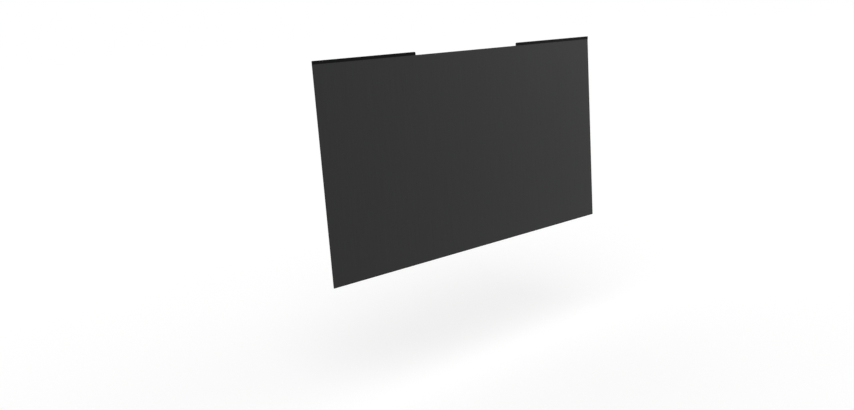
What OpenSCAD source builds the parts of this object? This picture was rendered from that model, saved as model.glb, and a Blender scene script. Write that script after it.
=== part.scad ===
// Magnetic privacy filter in the wide 24 inch size.
// A thin dark sheet hangs from two flexible magnet strips. The strips stand on the sheet's top edge,
// flush with its sides, and a webcam looks out through the gap between them.
// A clear film on the backs of strip and sheet holds each joint together.
// X runs along the width, Y from the front to the back, and Z up. The origin is the middle of the
// whole filter.

/* [Sheet] */
// Width of the sheet
sheet_w = 531.4; // [440:0.1:720]
// Height of the sheet, without the strips
sheet_h = 298.9; // [230:0.1:420]
// Thickness of the sheet
sheet_t = 0.5; // [0.3:0.05:0.9]
// Radius of the sheet's two bottom corners
sheet_corner_r = 1; // [0.2:0.1:8]

/* [Magnet strips] */
// Length of each strip
strip_len = 167.6; // [80:0.1:200]
// Height of a strip above the sheet's top edge
strip_h = 4.5; // [4:0.1:12]
// Thickness of a strip
strip_t = 1; // [0.5:0.05:2]
// Radius of a strip's top corner at the webcam gap
strip_inner_r = 2; // [0.2:0.1:3.5]
// Radius of a strip's top corner at the sheet's side
strip_outer_r = 0.8; // [0.2:0.1:3.5]

/* [Joining films] */
// Thickness of the film that joins a strip to the sheet
film_t = 0.1; // [0.05:0.01:0.2]
// How far the film reaches down the sheet's back
film_lap = 7; // [4:0.1:20]
// How far the film's edge lies inside the edges of strip and sheet
film_inset = 0.3; // [0.1:0.05:0.5]
// Radius of the film's two bottom corners
film_corner_r = 1.5; // [0.2:0.1:3]

/* [Hidden] */
$fn = 48;

whole_h = sheet_h + strip_h;
bottom_z = -whole_h / 2;
joint_z = bottom_z + sheet_h;
// The backs of sheet and strips lie in one plane, with the films behind it
back_y = (max(strip_t, sheet_t) - film_t) / 2;
// The film's top corners follow the strip's corners, film_inset inside them
film_inner_r = max(strip_inner_r - film_inset, 0);
film_outer_r = max(strip_outer_r - film_inset, 0);

// What is cut off the corner at the origin of a quarter plane to round it to radius r
module corner_waste(r) {
    difference() {
        square(r);
        translate([r, r]) circle(r);
    }
}

// A rectangle from the origin to [w, h] whose corners have the given radii, 0 for a square corner
module rounded_rectangle(w, h, bottom_left = 0, bottom_right = 0, top_right = 0, top_left = 0) {
    difference() {
        square([w, h]);
        if (bottom_left > 0) corner_waste(bottom_left);
        if (bottom_right > 0) translate([w, 0]) mirror([1, 0]) corner_waste(bottom_right);
        if (top_right > 0) translate([w, h]) rotate(180) corner_waste(top_right);
        if (top_left > 0) translate([0, h]) mirror([0, 1]) corner_waste(top_left);
    }
}

// Stands a flat outline up, with its back face in the plane y and its thickness towards the user
module upright(y, thickness) {
    translate([0, y, 0]) rotate([90, 0, 0]) linear_extrude(height = thickness) children();
}

// The louvred privacy film
module filter_sheet() {
    color([0.04, 0.04, 0.042])
        upright(back_y, sheet_t)
            translate([-sheet_w / 2, bottom_z])
                rounded_rectangle(sheet_w, sheet_h,
                    bottom_left = sheet_corner_r, bottom_right = sheet_corner_r);
}

// The strip on the left, which stands on the sheet's top edge
module magnet_strip() {
    color([0.012, 0.012, 0.013])
        upright(back_y, strip_t)
            translate([-sheet_w / 2, joint_z])
                rounded_rectangle(strip_len, strip_h,
                    top_right = strip_inner_r, top_left = strip_outer_r);
}

// The film on the left, which covers the strip's back and laps onto the sheet's back
module joining_film() {
    color([0.8, 0.82, 0.84, 0.3])
        upright(back_y + film_t, film_t)
            translate([-sheet_w / 2 + film_inset, joint_z - film_lap])
                rounded_rectangle(strip_len - 2 * film_inset, film_lap + strip_h - film_inset,
                    bottom_left = film_corner_r, bottom_right = film_corner_r,
                    top_right = film_inner_r, top_left = film_outer_r);
}

module left_magnet_strip() {
    magnet_strip();
}

module right_magnet_strip() {
    mirror([1, 0, 0]) magnet_strip();
}

module left_joining_film() {
    joining_film();
}

module right_joining_film() {
    mirror([1, 0, 0]) joining_film();
}

filter_sheet();
left_magnet_strip();
right_magnet_strip();
left_joining_film();
right_joining_film();
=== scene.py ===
# %% [markdown]
# # A magnetic privacy filter
#
# A privacy filter is a sheet of plastic film, about half a millimetre thick. Fine upright louvres
# inside the film let its user look through from straight ahead, and turn it dark for anyone who looks
# from the side. This one hangs from two flexible magnet strips on its top edge, with a gap between
# them for a webcam to look through.
#
# There is little to see on such a thing but its surfaces, so the lesson is about those: a dark sheet
# is not black, because it mirrors the room a little, and it mirrors more the more you look along it.

# %% Load the fixed frame
import math

import bpy
from mathutils import Matrix, Vector


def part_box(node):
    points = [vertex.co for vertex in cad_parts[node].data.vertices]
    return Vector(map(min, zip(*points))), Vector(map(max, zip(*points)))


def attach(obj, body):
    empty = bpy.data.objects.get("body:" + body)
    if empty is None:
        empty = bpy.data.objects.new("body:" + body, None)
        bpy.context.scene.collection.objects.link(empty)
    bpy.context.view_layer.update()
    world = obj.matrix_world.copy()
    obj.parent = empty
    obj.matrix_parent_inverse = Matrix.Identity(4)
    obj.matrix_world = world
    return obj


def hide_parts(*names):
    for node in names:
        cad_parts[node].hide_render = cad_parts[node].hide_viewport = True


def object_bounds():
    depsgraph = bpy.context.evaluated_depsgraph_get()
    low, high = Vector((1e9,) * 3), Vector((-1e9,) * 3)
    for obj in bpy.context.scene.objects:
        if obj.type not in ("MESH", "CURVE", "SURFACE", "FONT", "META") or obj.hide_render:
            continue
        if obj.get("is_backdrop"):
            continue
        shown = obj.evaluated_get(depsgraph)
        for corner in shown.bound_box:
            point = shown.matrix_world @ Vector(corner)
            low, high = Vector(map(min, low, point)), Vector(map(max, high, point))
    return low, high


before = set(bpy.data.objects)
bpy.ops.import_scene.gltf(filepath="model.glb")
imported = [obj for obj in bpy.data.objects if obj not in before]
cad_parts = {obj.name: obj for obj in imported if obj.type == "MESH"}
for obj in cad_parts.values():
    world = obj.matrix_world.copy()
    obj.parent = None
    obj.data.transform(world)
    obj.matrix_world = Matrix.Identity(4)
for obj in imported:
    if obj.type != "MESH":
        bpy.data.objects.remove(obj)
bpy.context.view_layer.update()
MM = 0.001
print("nodes:", sorted(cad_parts))

# %% [markdown]
# ## One way to make all the flat pieces
#
# Sheet, strips and films are all plates with some corners rounded. Each takes its place from the box
# of the solid that it stands for, so no length is repeated here. What a box can't say is how its
# corners and edges are rounded. The corners are die-cut to a radius of a millimetre or two. The edges
# are cut square by a blade, and all that softens them is the burr that it rolls over, a tenth of a
# millimetre on the thick soft magnet and less on film.
#
# By hand you would add a cube, scale it to the plate, pick the short edges at its corners, bevel them
# to the radius, and then add a Bevel modifier for the burr. The helpers do just that. Edges are
# picked by their place, because an index changes with each operation and a place doesn't.
#
# Smooth shading alone would blend a burr's slope right across the flat face beside it, and the plate
# would shine as if it were a pillow. Harden Normals keeps the whole turn of the light in the burr.

# %% Helpers that add and finish a plate
# Two places are one if they are no further apart than this
NEAR = 0.001 * MM
# Flat faces that a rounded corner is made of
CORNER_STEPS = 8
# An edge is sharp if its two faces turn by more than this
SHARP_TURN = math.radians(50)


def deselect_all():
    """Leaves nothing selected, so that the next operator acts on the new piece alone."""
    bpy.ops.object.select_all(action="DESELECT")


def add_block(name, low, high):
    """A box between two corners, with its place in its mesh and its object at the origin."""
    deselect_all()
    bpy.ops.mesh.primitive_cube_add(size=1, location=(low + high) / 2)
    block = bpy.context.object
    block.name = block.data.name = name
    block.dimensions = high - low
    bpy.ops.object.transform_apply(location=True, rotation=True, scale=True)
    return block


def round_corner(block, x, z, radius):
    """Bevels the one edge that runs from front to back through (x, z)."""
    bpy.ops.object.mode_set(mode="EDIT")
    bpy.ops.mesh.select_mode(type="EDGE")
    bpy.ops.mesh.select_all(action="DESELECT")
    bpy.ops.object.mode_set(mode="OBJECT")
    points = block.data.vertices
    for edge in block.data.edges:
        tips = [points[i].co for i in edge.vertices]
        edge.select = all(abs(tip.x - x) < NEAR and abs(tip.z - z) < NEAR for tip in tips)
    bpy.ops.object.mode_set(mode="EDIT")
    bpy.ops.mesh.bevel(offset=radius, segments=CORNER_STEPS, affect="EDGES")
    bpy.ops.object.mode_set(mode="OBJECT")


def soften_edges(block, width, steps):
    """Rolls every sharp edge over by the given width, and leaves the flat faces flat."""
    bpy.ops.object.shade_smooth()
    burr = block.modifiers.new("burr", "BEVEL")
    burr.width = width
    burr.segments = steps
    burr.limit_method = "ANGLE"
    burr.angle_limit = SHARP_TURN
    burr.harden_normals = True
    bpy.ops.object.modifier_apply(modifier=burr.name)


def describe(piece):
    """Prints a piece's size in millimetres and its faces."""
    size = [round(side / MM, 2) for side in piece.dimensions]
    print(f"{piece.name}: {size} mm, {len(piece.data.polygons)} faces")


# %% [markdown]
# ## The sheet
#
# The real sheet is a laminate: a louvred film between two clear ones, bonded for good and cut to its
# user's size. Only its two bottom corners are free, and those are rounded so that they don't catch.
# The top corners run on into the strips.

# %% Model the sheet
SHEET_CORNER = 1.0 * MM
SHEET_BURR = 0.05 * MM

low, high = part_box("filter_sheet")
sheet = add_block("louvre_sheet", low, high)
for x in (low.x, high.x):
    round_corner(sheet, x, low.z, SHEET_CORNER)
soften_edges(sheet, SHEET_BURR, steps=2)
describe(sheet)

# %% [markdown]
# ## The magnet strips
#
# Flexible magnet is rubber filled with magnetic powder, rolled out and die-cut. Each strip stands on
# the sheet's top edge, and its back lies in the plane of the sheet's back, where it takes hold of
# whatever steel it is hung on. Its corner at the webcam gap is rounded more than the one at the
# sheet's side. The two strips are mirror images, but each gets a mesh of its own.

# %% Model the strips
SIDES = ("left", "right")
STRIP_GAP_CORNER = 2.0 * MM
STRIP_SIDE_CORNER = 0.8 * MM
STRIP_BURR = 0.12 * MM


def gap_and_side_end(side, low, high):
    """The x of a strip's or film's end at the webcam gap, and of its end at the sheet's side."""
    return (high.x, low.x) if side == "left" else (low.x, high.x)


strips = {}
for side in SIDES:
    low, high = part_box(f"{side}_magnet_strip")
    strip = add_block(f"{side}_strip", low, high)
    gap_x, side_x = gap_and_side_end(side, low, high)
    round_corner(strip, gap_x, high.z, STRIP_GAP_CORNER)
    round_corner(strip, side_x, high.z, STRIP_SIDE_CORNER)
    soften_edges(strip, STRIP_BURR, steps=3)
    strips[side] = strip
    describe(strip)

# %% [markdown]
# ## The joining films
#
# Behind each joint a clear film holds strip and sheet together. Its top corners follow the strip's, a
# little inside them. Two faces in exactly the same place flicker in a ray tracer, because a ray can't
# tell which it met first. So the film keeps a hundredth of a millimetre of air in front of it, far too
# little to see.

# %% Model the films
LAP_CORNER = 1.5 * MM
FILM_BURR = 0.02 * MM
FILM_AIR = 0.01 * MM

films = {}
for side in SIDES:
    low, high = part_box(f"{side}_joining_film")
    film = add_block(f"{side}_film", low + Vector((0, FILM_AIR, 0)), high)
    gap_x, side_x = gap_and_side_end(side, low, high)
    inset = low.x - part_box(f"{side}_magnet_strip")[0].x
    round_corner(film, gap_x, high.z, STRIP_GAP_CORNER - inset)
    round_corner(film, side_x, high.z, STRIP_SIDE_CORNER - inset)
    for x in (gap_x, side_x):
        round_corner(film, x, low.z, LAP_CORNER)
    soften_edges(film, FILM_BURR, steps=1)
    films[side] = film
    describe(film)

# %% [markdown]
# ## A short way to write a material
#
# Each finish below is a shader or two with a few nodes in front, and the helpers keep the wiring
# short. Patterns read Object coordinates, which are metres here, so a noise with 1000 features per
# metre has one for each millimetre. Such a noise mostly lies between 0.3 and 0.7, and that stretch of
# it is spread over the colours or the roughness that it is to give.

# %% Helpers that add nodes
NOISE_LOW, NOISE_HIGH = 0.3, 0.7


def new_material(name):
    """A material with nodes, its tree and its Principled shader."""
    material = bpy.data.materials.new(name)
    material.use_nodes = True
    return material, material.node_tree, material.node_tree.nodes["Principled BSDF"]


def fill(node, **sockets):
    """Gives a node's sockets their values. An underscore stands for a space in a socket's name."""
    for name, value in sockets.items():
        node.inputs[name.replace("_", " ")].default_value = value
    return node


def add_node(tree, kind, **sockets):
    """Adds a node of this kind and fills in its sockets."""
    return fill(tree.nodes.new(f"ShaderNode{kind}"), **sockets)


def calculate(tree, operation, first, second=None):
    """Adds a Math node. The second term, where there is one, is another node's output or a number."""
    node = add_node(tree, "Math")
    node.operation = operation
    tree.links.new(first, node.inputs[0])
    if isinstance(second, bpy.types.NodeSocket):
        tree.links.new(second, node.inputs[1])
    elif second is not None:
        node.inputs[1].default_value = second
    return node.outputs["Value"]


def noise(tree, per_metre):
    """A noise with so many features per metre along X, Y and Z."""
    place = add_node(tree, "TexCoord")
    stretch = add_node(tree, "Mapping", Scale=per_metre)
    pattern = add_node(tree, "TexNoise", Scale=1.0, Detail=2.0)
    tree.links.new(place.outputs["Object"], stretch.inputs["Vector"])
    tree.links.new(stretch.outputs["Vector"], pattern.inputs["Vector"])
    return pattern.outputs["Fac"]


# %% [markdown]
# ## What a pattern does to a surface
#
# A pattern can move a surface's colour, move its roughness, or raise it, and there is a helper for
# each. The last helper gives a plate two materials, because a thing that was cut from a roll looks
# different at its edge.

# %% Helpers that put patterns and materials on a surface
# A face whose normal is this much along Y belongs to the front or the back
SQUARE_ON = 0.9


def vary_colour(tree, shader, pattern, dark, light):
    """Lets a pattern move the base colour from dark to light."""
    ramp = add_node(tree, "ValToRGB")
    for stop, level, colour in zip(ramp.color_ramp.elements, (NOISE_LOW, NOISE_HIGH), (dark, light)):
        stop.position = level
        stop.color = (*colour, 1.0)
    tree.links.new(pattern, ramp.inputs["Fac"])
    tree.links.new(ramp.outputs["Color"], shader.inputs["Base Color"])


def vary_roughness(tree, shader, pattern, low, high):
    """Lets a pattern move the roughness from low to high."""
    span = add_node(tree, "MapRange", From_Min=NOISE_LOW, From_Max=NOISE_HIGH, To_Min=low, To_Max=high)
    tree.links.new(pattern, span.inputs["Value"])
    tree.links.new(span.outputs["Result"], shader.inputs["Roughness"])


def add_relief(tree, shader, pattern, depth, strength=0.3):
    """Lets a pattern raise the surface by up to depth, in metres, on top of any relief before it."""
    bump = add_node(tree, "Bump", Distance=depth, Strength=strength)
    tree.links.new(pattern, bump.inputs["Height"])
    for earlier in shader.inputs["Normal"].links:
        tree.links.new(earlier.from_socket, bump.inputs["Normal"])
    tree.links.new(bump.outputs["Normal"], shader.inputs["Normal"])


def put_on(plate, face_material, edge_material):
    """Gives front and back the one material, and the edges with most of their burr the other."""
    plate.data.materials.append(face_material)
    plate.data.materials.append(edge_material)
    for face in plate.data.polygons:
        face.material_index = 0 if abs(face.normal.y) > SQUARE_ON else 1
    cut = sum(face.material_index for face in plate.data.polygons)
    print(f"{plate.name}: {cut} of {len(plate.data.polygons)} faces show the cut edge")


# %% [markdown]
# ## The louvred film
#
# The film's own colour is almost black. What the photograph shows, a charcoal that grows paler
# towards the far side, is mostly the white room mirrored in its satin face. The matte coat on it
# mirrors under three hundredths of the light head on, two thirds of what bare plastic does, and half
# as much again at fifty degrees. So the base colour stays very dark, the Specular IOR Level is turned
# down for such a coat, and the shader's own Fresnel does the rest.
#
# Close up, the louvres show as a fine upright grain. Real ones are about a tenth of a millimetre
# apart, and the grain drawn here is a few times as coarse: a noise with a feature for every four
# tenths of a millimetre across and every seven centimetres up. The coat adds a relief of its own, as
# fine as dust. Film is never perfectly even either, so a third noise, as large as a hand, moves the
# roughness a little.

# %% Make the louvred film
GRAIN_PER_METRE = (2600.0, 2600.0, 14.0)
COAT_PER_METRE = (7000.0, 7000.0, 7000.0)
CLOUDS_PER_METRE = (9.0, 9.0, 7.0)
SHEET_DARK = (0.0026, 0.0026, 0.0027)
SHEET_LIGHT = (0.0070, 0.0070, 0.0072)
SHEET_ROUGHNESS = (0.40, 0.46)
SHEET_SPECULAR = 0.33
GRAIN_DEPTH = 0.005 * MM
COAT_DEPTH = 0.002 * MM

sheet_material, tree, shader = new_material("louvre_film")
fill(shader, Specular_IOR_Level=SHEET_SPECULAR)
grain = noise(tree, GRAIN_PER_METRE)
vary_colour(tree, shader, grain, SHEET_DARK, SHEET_LIGHT)
vary_roughness(tree, shader, noise(tree, CLOUDS_PER_METRE), *SHEET_ROUGHNESS)
add_relief(tree, shader, grain, GRAIN_DEPTH)
add_relief(tree, shader, noise(tree, COAT_PER_METRE), COAT_DEPTH)
print("louvred film: a grain of", round(1 / GRAIN_PER_METRE[0] / MM, 2), "mm")

# %% [markdown]
# ## The film's cut edge
#
# Where a blade has cut through the laminate, its layers show: the dark louvred core in the middle and
# a clear skin on either side. The skin is painted light grey, a painted highlight for the light that it
# catches, which shows as a fine grey line. The pattern here is no noise, but how far a point lies from
# the middle of the sheet's thickness.

# %% Make the cut edge and put both materials on the sheet
CORE_SHARE = 0.56
CORE_FADE = 0.1
EDGE_CORE = (0.004, 0.004, 0.004)
# The clear skin's light grey is a painted highlight: the light that it catches, put into its colour
EDGE_SKIN_PAINTED_HIGHLIGHT = (0.045, 0.046, 0.048)
EDGE_ROUGHNESS = 0.55

edge_material, tree, shader = new_material("cut_edge")
fill(shader, Roughness=EDGE_ROUGHNESS)
low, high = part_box("filter_sheet")
middle_y, half_thickness = (low.y + high.y) / 2, (high.y - low.y) / 2
place = add_node(tree, "TexCoord")
depth = add_node(tree, "SeparateXYZ")
tree.links.new(place.outputs["Object"], depth.inputs["Vector"])
from_middle = calculate(tree, "ABSOLUTE", calculate(tree, "SUBTRACT", depth.outputs["Y"], middle_y))
layers = add_node(
    tree,
    "MapRange",
    From_Min=half_thickness * (CORE_SHARE - CORE_FADE),
    From_Max=half_thickness * (CORE_SHARE + CORE_FADE),
    To_Min=NOISE_LOW,
    To_Max=NOISE_HIGH,
)
tree.links.new(from_middle, layers.inputs["Value"])
vary_colour(tree, shader, layers.outputs["Result"], EDGE_CORE, EDGE_SKIN_PAINTED_HIGHLIGHT)

put_on(sheet, sheet_material, edge_material)

# %% [markdown]
# ## The magnet's black face
#
# The strips look blacker than the sheet beside them. Their rubber is filled with dark powder and
# dull, so it mirrors far less of the room than film does, and the Specular IOR Level is turned well
# down. Rolling leaves fine lines along the strip, made here by a noise stretched along X.

# %% Make the magnet's face
ROLLING_PER_METRE = (16.0, 5200.0, 5200.0)
MOTTLE_PER_METRE = (120.0, 120.0, 120.0)
RUBBER_DARK = (0.0005, 0.0005, 0.0005)
RUBBER_LIGHT = (0.0021, 0.0021, 0.0022)
RUBBER_ROUGHNESS = (0.44, 0.58)
RUBBER_SPECULAR = 0.08
ROLLING_DEPTH = 0.006 * MM

magnet_material, tree, shader = new_material("magnet_black")
fill(shader, Specular_IOR_Level=RUBBER_SPECULAR)
rolling = noise(tree, ROLLING_PER_METRE)
vary_colour(tree, shader, rolling, RUBBER_DARK, RUBBER_LIGHT)
vary_roughness(tree, shader, noise(tree, MOTTLE_PER_METRE), *RUBBER_ROUGHNESS)
add_relief(tree, shader, rolling, ROLLING_DEPTH)
print("magnet face: roughness", RUBBER_ROUGHNESS)

# %% [markdown]
# ## The magnet's cut edge
#
# The smooth black face is only a skin. The die cuts through it into the magnet itself, which is
# rubber packed with ground ferrite: a little greyer, quite dull, and speckled like fine sandpaper.

# %% Make the magnet's edge and put both materials on the strips
SPECKLES_PER_METRE = (6500.0, 6500.0, 6500.0)
FERRITE_DARK = (0.0030, 0.0029, 0.0028)
FERRITE_LIGHT = (0.0130, 0.0125, 0.0120)
FERRITE_ROUGHNESS = (0.66, 0.82)
FERRITE_SPECULAR = 0.25
SPECKLE_DEPTH = 0.01 * MM
SPECKLE_STRENGTH = 0.4

ferrite_material, tree, shader = new_material("magnet_ferrite")
fill(shader, Specular_IOR_Level=FERRITE_SPECULAR)
speckles = noise(tree, SPECKLES_PER_METRE)
vary_colour(tree, shader, speckles, FERRITE_DARK, FERRITE_LIGHT)
vary_roughness(tree, shader, speckles, *FERRITE_ROUGHNESS)
add_relief(tree, shader, speckles, SPECKLE_DEPTH, SPECKLE_STRENGTH)
for strip in strips.values():
    put_on(strip, magnet_material, ferrite_material)

# %% [markdown]
# ## The clear film
#
# Clear film has no colour to speak of. It lets nearly everything through and mirrors a little, more
# at a slant, so it is a Transparent and a Glossy shader mixed by a Fresnel node. Adhesive never dries
# perfectly level, and the film over it shows that as a soft ripple in what it mirrors.

# %% Make the clear film
CLEAR_TINT = (0.94, 0.94, 0.94, 1.0)
CLEAR_ROUGHNESS = 0.10
CLEAR_IOR = 1.45
RIPPLES_PER_METRE = (130.0, 130.0, 210.0)
RIPPLE_DEPTH = 0.04 * MM
RIPPLE_STRENGTH = 0.5

clear_material, tree, shader = new_material("clear_film")
tree.nodes.remove(shader)
through = add_node(tree, "BsdfTransparent", Color=CLEAR_TINT)
mirror = add_node(tree, "BsdfGlossy", Roughness=CLEAR_ROUGHNESS)
slant = add_node(tree, "Fresnel", IOR=CLEAR_IOR)
both = add_node(tree, "MixShader")
tree.links.new(slant.outputs["Fac"], both.inputs["Fac"])
tree.links.new(through.outputs["BSDF"], both.inputs[1])
tree.links.new(mirror.outputs["BSDF"], both.inputs[2])
tree.links.new(both.outputs["Shader"], tree.nodes["Material Output"].inputs["Surface"])
add_relief(tree, mirror, noise(tree, RIPPLES_PER_METRE), RIPPLE_DEPTH, RIPPLE_STRENGTH)
for film in films.values():
    film.data.materials.append(clear_material)
print("clear film: roughness", CLEAR_ROUGHNESS)

# %% [markdown]
# ## Put each piece in the place of its solid
#
# The frame keeps the solids for the physics. Each new piece rides on the one body and takes the place
# of the solid that it stands for, which is hidden.

# %% Put the pieces on the frame
def dress(piece, node):
    """Lets a piece stand for a solid of the frame."""
    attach(piece, "root")
    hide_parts(node)
    print(piece.name, "stands for", node)


dress(sheet, "filter_sheet")
for side in SIDES:
    dress(strips[side], f"{side}_magnet_strip")
    dress(films[side], f"{side}_joining_film")

# %% [markdown]
# ## The floor
#
# The filter hangs in mid air, as in the photograph, and all around it is white. The floor is a plain
# pale desk, a hand's length below the sheet. Whatever sees it directly or in a mirror gets a little
# extra light from it, which makes it as white as the room behind and leaves the filter's soft shadow.
# Nothing is lit by that extra light.

# %% Add the floor
WHITE = (1.0, 1.0, 1.0, 1.0)
FLOOR_DROP = 0.19
FLOOR_SIDE = 120.0
FLOOR_COLOUR = (0.80, 0.80, 0.80, 1.0)
FLOOR_ROUGHNESS = 0.9
FLOOR_GLOW = 0.28


def sees_background(tree):
    """An output that is 1 for the camera's own rays and for mirrored and refracted ones, and else 0."""
    rays = add_node(tree, "LightPath")
    seen = rays.outputs["Is Camera Ray"]
    for kind in ("Is Glossy Ray", "Is Transmission Ray"):
        seen = calculate(tree, "MAXIMUM", seen, rays.outputs[kind])
    return seen


deselect_all()
floor_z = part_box("filter_sheet")[0].z - FLOOR_DROP
bpy.ops.mesh.primitive_plane_add(size=FLOOR_SIDE, location=(0, 0, floor_z))
floor = bpy.context.object
floor.name = "desk"
floor_material, tree, shader = new_material("pale_floor")
fill(shader, Base_Color=FLOOR_COLOUR, Roughness=FLOOR_ROUGHNESS, Specular_IOR_Level=0.0)
fill(shader, Emission_Color=WHITE)
seen_glow = calculate(tree, "MULTIPLY", sees_background(tree), FLOOR_GLOW)
tree.links.new(seen_glow, shader.inputs["Emission Strength"])
floor.data.materials.append(floor_material)
floor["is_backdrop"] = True
print("floor", round(FLOOR_DROP / MM), "mm below the sheet")

# %% [markdown]
# ## The light
#
# A white room lights the filter from all round, and two broad suns add a soft direction. Suns light
# near and far alike, so the desk stays even to the horizon. The camera and mirror rays see the room
# as plain white. Everything else gets less than that from it, because the suns bring the rest, and
# together they show a pale surface at about the colour it is given.

# %% Light the room
ROOM_STRENGTH = 0.60
SUNS = {
    "key": {"from_side": (-1.0, -1.1, 1.5), "strength": 0.95, "width": 50},
    "fill": {"from_side": (1.4, -0.55, 0.65), "strength": 0.75, "width": 60},
}

world = bpy.data.worlds.new("white_room")
bpy.context.scene.world = world
world.use_nodes = True
tree = world.node_tree
room = fill(tree.nodes["Background"], Color=WHITE, Strength=ROOM_STRENGTH)
backdrop = add_node(tree, "Background", Color=WHITE, Strength=1.0)
choice = add_node(tree, "MixShader")
tree.links.new(sees_background(tree), choice.inputs["Fac"])
tree.links.new(room.outputs["Background"], choice.inputs[1])
tree.links.new(backdrop.outputs["Background"], choice.inputs[2])
tree.links.new(choice.outputs["Shader"], tree.nodes["World Output"].inputs["Surface"])

for name, sun in SUNS.items():
    deselect_all()
    bpy.ops.object.light_add(type="SUN", location=sun["from_side"])
    lamp = bpy.context.object
    lamp.name = name
    lamp.data.energy = sun["strength"]
    lamp.data.angle = math.radians(sun["width"])
    lamp.rotation_euler = Vector(sun["from_side"]).to_track_quat("Z", "Y").to_euler()
    print(name, "sun, strength", sun["strength"])

# %% [markdown]
# ## The camera
#
# The four corners of a rectangle in a photograph tell where the camera stood. Their picture gives
# its place, the way it looks and its lens, and even the rectangle's proportions, here 16 to 9. The
# place is counted from the middle of the sheet's bottom edge. The camera looks to the right, a
# little down, and is tipped a few degrees to its side.

# %% Set up the camera
PHOTO_WIDTH = 854
FOCAL_PIXELS = 816.9
SENSOR_WIDTH = 36.0
CLIP_END = 200.0
SPOT_FROM_SHEET = Vector((-0.8085, -0.9156, 0.3300))
LOOKS_ALONG = Vector((0.60036, 0.77236, -0.20743))
RIGHT_OF_PICTURE = Vector((0.77839, -0.62387, -0.07006))

sheet_bottom = Vector((0, 0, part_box("filter_sheet")[0].z))
camera_data = bpy.data.cameras.new("photo_camera")
camera = bpy.data.objects.new("photo_camera", camera_data)
bpy.context.scene.collection.objects.link(camera)
bpy.context.scene.camera = camera
back = -LOOKS_ALONG.normalized()
up = back.cross(RIGHT_OF_PICTURE).normalized()
right = up.cross(back)
turned = Matrix((right, up, back)).transposed().to_4x4()
camera.matrix_world = Matrix.Translation(sheet_bottom + SPOT_FROM_SHEET) @ turned
camera_data.sensor_width = SENSOR_WIDTH
camera_data.lens = SENSOR_WIDTH * FOCAL_PIXELS / PHOTO_WIDTH
camera_data.clip_end = CLIP_END
bpy.context.scene.view_settings.view_transform = "Standard"
print("camera", [round(c, 3) for c in camera.location], "lens", round(camera_data.lens, 1), "mm")

# %% [markdown]
# ## The finished size
#
# The finished filter has to be as large as the solids it stands for, and its size is printed here.

# %% Print the finished size
low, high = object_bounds()
print("finished size in mm:", [round(side / MM, 2) for side in high - low])
